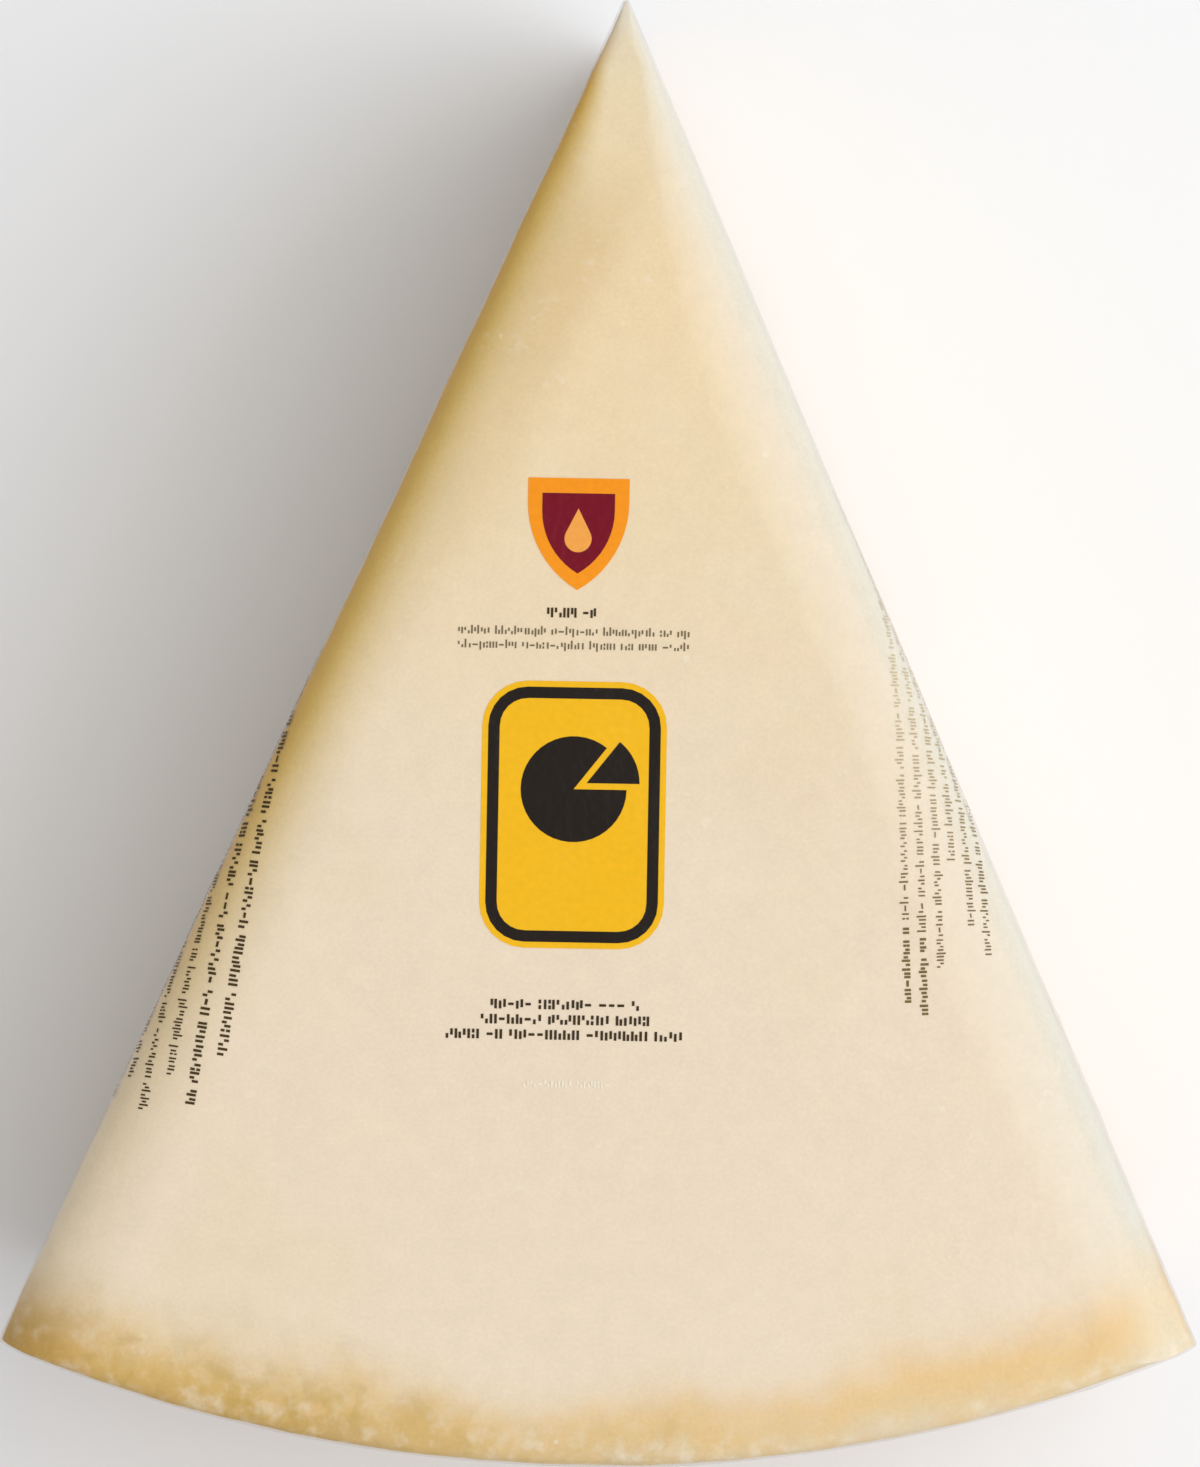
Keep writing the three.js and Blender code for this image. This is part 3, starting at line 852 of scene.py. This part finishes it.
# The left block reads down and runs in over the left edge. Each row ends on the flat, short of or
# past the first row's end, and has its own length.
bm = bmesh.new()
LEFT_RUN = Vector((-0.136, -0.991))
LEFT_STEP = Vector((-0.991, 0.136)) * 3.15 * MM
LEFT_END = Vector((-51.3, -44.8)) * MM
left_rows = ((0, 58), (6.8, 66), (2.6, 60), (8.6, 62), (4, 58), (7, 60))
for i, (extra, length) in enumerate(left_rows):
    start = LEFT_END + LEFT_STEP * i + LEFT_RUN * (extra - length) * MM
    bold = i < 2
    pitch, stroke = (1.4, 0.34) if bold else (1.2, 0.22)
    sizes = (length * MM, 1.4 * MM, pitch * MM, stroke * MM)
    mark_row(bm, draw, start, LEFT_RUN, *sizes, small=not bold)
lay(bm, "print_left_block", 1, ink("side_brown_ink", "#4A3A1E"))

# The right block reads up and runs out over the right edge, and its ink is painted paler on the way,
# a painted sheen of the film over the rolled edge. Its first two rows start with a bold stretch.
bm = bmesh.new()
RIGHT_RUN = Vector((-0.0485, 0.9988))
RIGHT_STEP = Vector((0.9988, 0.0485)) * 2.2 * MM
RIGHT_START = Vector((40.6, -34.9)) * MM
BOLD_STRETCH = 11 * MM
TALL = PITCH = 1.25 * MM
right_rows = ((0, 72), (-1.7, 74), (4.5, 60), (18.7, 50), (10, 58), (6, 60))
for i, (extra, length) in enumerate(right_rows):
    start = RIGHT_START + RIGHT_STEP * i + RIGHT_RUN * extra * MM
    bold = BOLD_STRETCH if i < 2 else 0
    mark_row(bm, draw, start, RIGHT_RUN, bold, TALL, PITCH, 0.32 * MM, small=True)
    start += RIGHT_RUN * bold
    mark_row(bm, draw, start, RIGHT_RUN, length * MM - bold, TALL, PITCH, 0.21 * MM, small=True)
lay(bm, "print_right_block", 1, ink("brown_ink_under_painted_sheen", "#7A6438", "#CDBB98", (-20 * MM, 6 * MM)))


# ---- The studio ----
# A pale matte floor, a large soft lamp overhead to the right, a weak one low at the right and
# one at the front.

floor_mesh = bpy.data.meshes.new("floor")
bm = bmesh.new()
bmesh.ops.create_grid(bm, x_segments=4, y_segments=4, size=4)
bm.to_mesh(floor_mesh)
bm.free()
floor = bpy.data.objects.new("floor", floor_mesh)
bpy.context.collection.objects.link(floor)
paper = new_material("white_paper_floor")
matte = node(paper, "BsdfPrincipled", {"Base Color": srgb("#F8F9FB"), "Roughness": 0.9})
node(paper, "OutputMaterial", {"Surface": matte})
floor.data.materials.append(paper)


def lamp(name, place, size, power, colour="#FFFFFF"):
    """A soft square lamp that looks at the wedge's middle."""
    data = bpy.data.lights.new(name, "AREA")
    data.size, data.energy, data.color = size, power, srgb(colour)[:3]
    made = bpy.data.objects.new(name, data)
    made.location = place
    view = Vector((0, 0, HALF_HEIGHT)) - Vector(place)
    made.rotation_euler = view.to_track_quat("-Z", "Y").to_euler()
    bpy.context.collection.objects.link(made)


lamp("key", (1.0, 0.1, 1.65), 1.9, 26.1)
lamp("right_soft", (1.5, -0.2, 0.5), 0.9, 3)
lamp("front_weak", (-0.7, -1.5, 0.8), 0.9, 2.5, "#FFF4E4")

world = bpy.data.worlds.new("studio")
world.use_nodes = True
world.node_tree.nodes["Background"].inputs["Color"].default_value = srgb("#F3F4F6")
world.node_tree.nodes["Background"].inputs["Strength"].default_value = 0.5
bpy.context.scene.world = world

# The camera looks straight down on the cut. Its lens and place make the photograph's framing.
CAMERA_HEIGHT = 1.2  # over the cut
LENS = 222.9
CAMERA_X, CAMERA_Y = -1.24 * MM, -0.08 * MM
CAMERA_TURN = math.radians(1.029)
camera_data = bpy.data.cameras.new("camera")
camera = bpy.data.objects.new("camera", camera_data)
camera_data.lens = LENS
camera_data.clip_end = 50
camera.location = (CAMERA_X, CAMERA_Y, HALF_HEIGHT + CAMERA_HEIGHT)
camera.rotation_euler = (0, 0, CAMERA_TURN)
bpy.context.collection.objects.link(camera)
bpy.context.scene.camera = camera
bpy.context.scene.view_settings.view_transform = "Standard"
